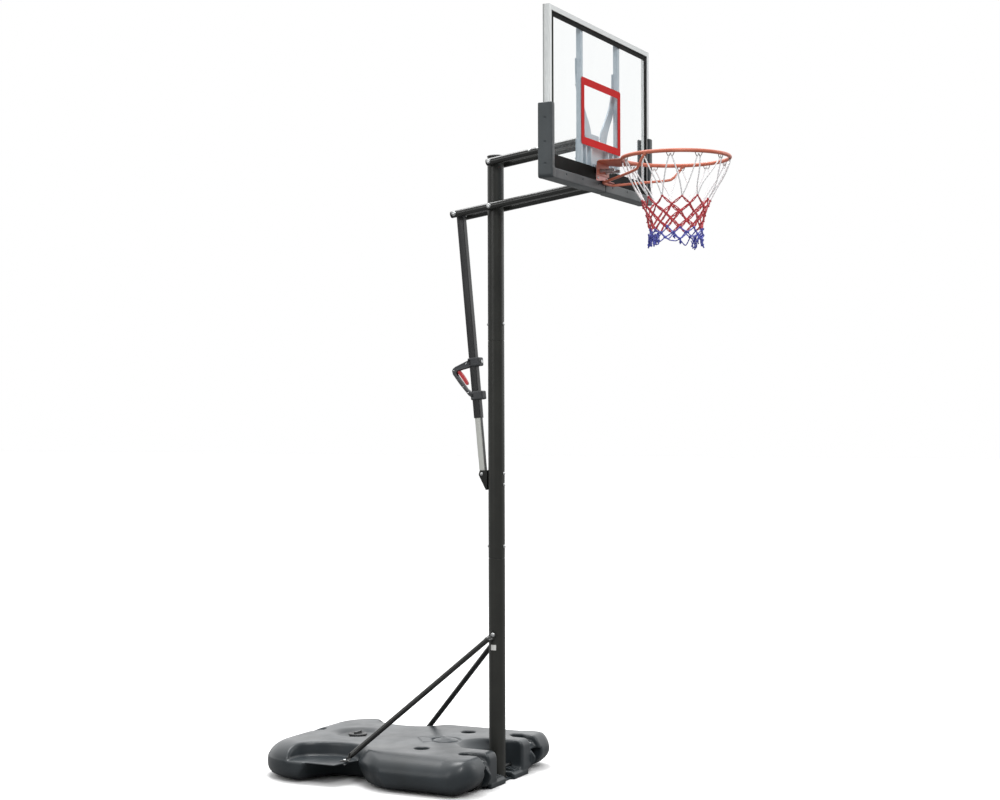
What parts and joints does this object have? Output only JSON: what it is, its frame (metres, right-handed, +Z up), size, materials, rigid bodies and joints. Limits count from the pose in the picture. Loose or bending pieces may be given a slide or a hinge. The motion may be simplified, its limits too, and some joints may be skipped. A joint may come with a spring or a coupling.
{
  "type": "portable basketball hoop",
  "caption": "Wheeled ballast base with a round pole, a parallel-arm height lift with a telescoping actuator, a clear framed backboard and a sprung breakaway rim with a net.",
  "frame": {"origin": "on the ground at the pole's centre line", "axes": "+Z up; the player stands on the -Y side, so the backboard's face points along -Y and the base extends along +Y; +X is to the right when looking along +Y"},
  "size_m": [1.132, 2.173, 3.375],
  "materials": {
    "base_plastic": "moulded grey plastic with a soft sheen",
    "ballast": "dry sand fill",
    "wheel_rubber": "black moulded wheel",
    "zinc": "bright zinc plated steel",
    "pole_paint": "charcoal gloss powder coat",
    "black_plastic": "black moulded plastic",
    "label": "blank white sticker",
    "clear_sheet": "clear polymer sheet with black border bands and a red target rectangle",
    "frame_aluminium": "satin anodised extrusion",
    "pad_plastic": "grey blow-moulded edge pad",
    "rear_steel": "light grey powder coat",
    "rim_paint": "orange-red powder coat",
    "net_cord": "white, red and blue braided cord",
    "red_plastic": "red moulded plastic"
  },
  "bodies": {
    "base": {"base_tank": "base_plastic", "ballast_sand": "ballast", "axle_rod": "zinc", "pole_lower": "pole_paint", "pole_middle": "pole_paint", "pole_upper": "pole_paint", "pole_top_cap": "black_plastic", "pole_joint_bolt_lower": "zinc", "pole_joint_bolt_upper": "zinc", "blank_label": "label", "brace_left": "pole_paint", "brace_right": "pole_paint", "brace_foot_bolt_left": "zinc", "brace_foot_bolt_right": "zinc", "brace_top_bolt": "zinc", "actuator_bracket": "pole_paint", "bracket_bolt_lower": "zinc", "bracket_bolt_upper": "zinc", "actuator_foot_bolt": "zinc", "lower_pivot_bolt": "zinc", "upper_pivot_bolt": "zinc"},
    "wheel_left_body": {"wheel_left": "wheel_rubber"},
    "wheel_right_body": {"wheel_right": "wheel_rubber"},
    "filler_cap_body": {"filler_cap": "black_plastic"},
    "lower_arms": {"lower_arm_left": "pole_paint", "lower_arm_right": "pole_paint", "arm_end_plug_left": "black_plastic", "arm_end_plug_right": "black_plastic", "actuator_head_bolt_left": "zinc", "actuator_head_bolt_right": "zinc"},
    "upper_arms": {"upper_arm_left": "pole_paint", "upper_arm_right": "pole_paint"},
    "backboard": {"clear_sheet": "clear_sheet", "frame_top": "frame_aluminium", "frame_bottom": "frame_aluminium", "frame_left": "frame_aluminium", "frame_right": "frame_aluminium", "edge_pad_left": "pad_plastic", "edge_pad_right": "pad_plastic", "rear_post_left": "rear_steel", "rear_post_right": "rear_steel", "wing_bracket_left": "rear_steel", "wing_bracket_right": "rear_steel", "board_bracket": "rear_steel", "board_bolt_lower": "zinc", "board_bolt_upper": "zinc", "rim_mount_plate": "rim_paint", "rim_bolt_left": "zinc", "rim_bolt_right": "zinc", "rim_spring_bolt_left": "zinc", "rim_spring_bolt_right": "zinc", "rim_spring_left": "zinc", "rim_spring_right": "zinc"},
    "rim": {"rim_ring": "rim_paint", "net": "net_cord"},
    "actuator_lower": {"actuator_inner_tube": "zinc"},
    "actuator_upper": {"actuator_outer_tube": "pole_paint", "actuator_handle": "black_plastic"},
    "trigger": {"handle_trigger": "red_plastic"},
    "latch": {"latch_pin": "zinc"}
  },
  "joints": [
    {"name": "wheel_left_spin", "type": "hinge", "parent": "base", "child": "wheel_left_body", "pos_m": [-0.265, 0, 0.051], "axis": [1, 0, 0], "continuous": true},
    {"name": "wheel_right_spin", "type": "hinge", "parent": "base", "child": "wheel_right_body", "pos_m": [0.265, 0, 0.051], "axis": [1, 0, 0], "continuous": true},
    {"name": "filler_cap_lift", "type": "slide", "parent": "base", "child": "filler_cap_body", "axis": [0, 0, 1], "range_m": [0, 0.06]},
    {"name": "board_lift", "type": "hinge", "parent": "base", "child": "lower_arms", "pos_m": [0, 0, 2.616], "axis": [-1, 0, 0], "range_deg": [-43.8, 37.4]},
    {"name": "upper_arm_swing", "type": "hinge", "parent": "base", "child": "upper_arms", "pos_m": [0, 0, 2.818], "axis": [-1, 0, 0], "range_deg": [-43.9, 37.5]},
    {"name": "board_level", "type": "hinge", "parent": "lower_arms", "child": "backboard", "pos_m": [0, -0.46124, 2.68247], "axis": [-1, 0, 0], "range_deg": [-37.5, 43.9]},
    {"name": "rim_breakaway", "type": "hinge", "parent": "backboard", "child": "rim", "pos_m": [0, -0.553, 2.688], "axis": [1, 0, 0], "range_deg": [0, 20], "stiffness_Nm_per_rad": 60, "springref_deg": -25.78, "deforming": ["rim_spring_left", "rim_spring_right"]},
    {"name": "actuator_tilt", "type": "hinge", "parent": "base", "child": "actuator_lower", "pos_m": [0, 0.066, 1.398], "axis": [1, 0, 0], "range_deg": [0, 2.25]},
    {"name": "actuator_slide", "type": "slide", "parent": "actuator_lower", "child": "actuator_upper", "axis": [0, 0.0937, 0.9956], "range_m": [-0.11, 0.129]},
    {"name": "trigger_squeeze", "type": "hinge", "parent": "actuator_upper", "child": "trigger", "pos_m": [0, 0.19034, 1.86541], "axis": [1, 0, 0], "range_deg": [0, 5]},
    {"name": "latch_pull", "type": "slide", "parent": "actuator_upper", "child": "latch", "axis": [0, -0.9956, 0.0937], "range_m": [0, 0.0062]}
  ],
  "couplings": [
    {"joint": "upper_arm_swing", "follows": "board_lift", "ratio": 1},
    {"joint": "board_level", "follows": "board_lift", "ratio": -1},
    {"joint": "actuator_slide", "follows": "board_lift", "m_per_rad": -0.167},
    {"joint": "latch_pull", "follows": "trigger_squeeze", "m_per_rad": 0.0687}
  ]
}
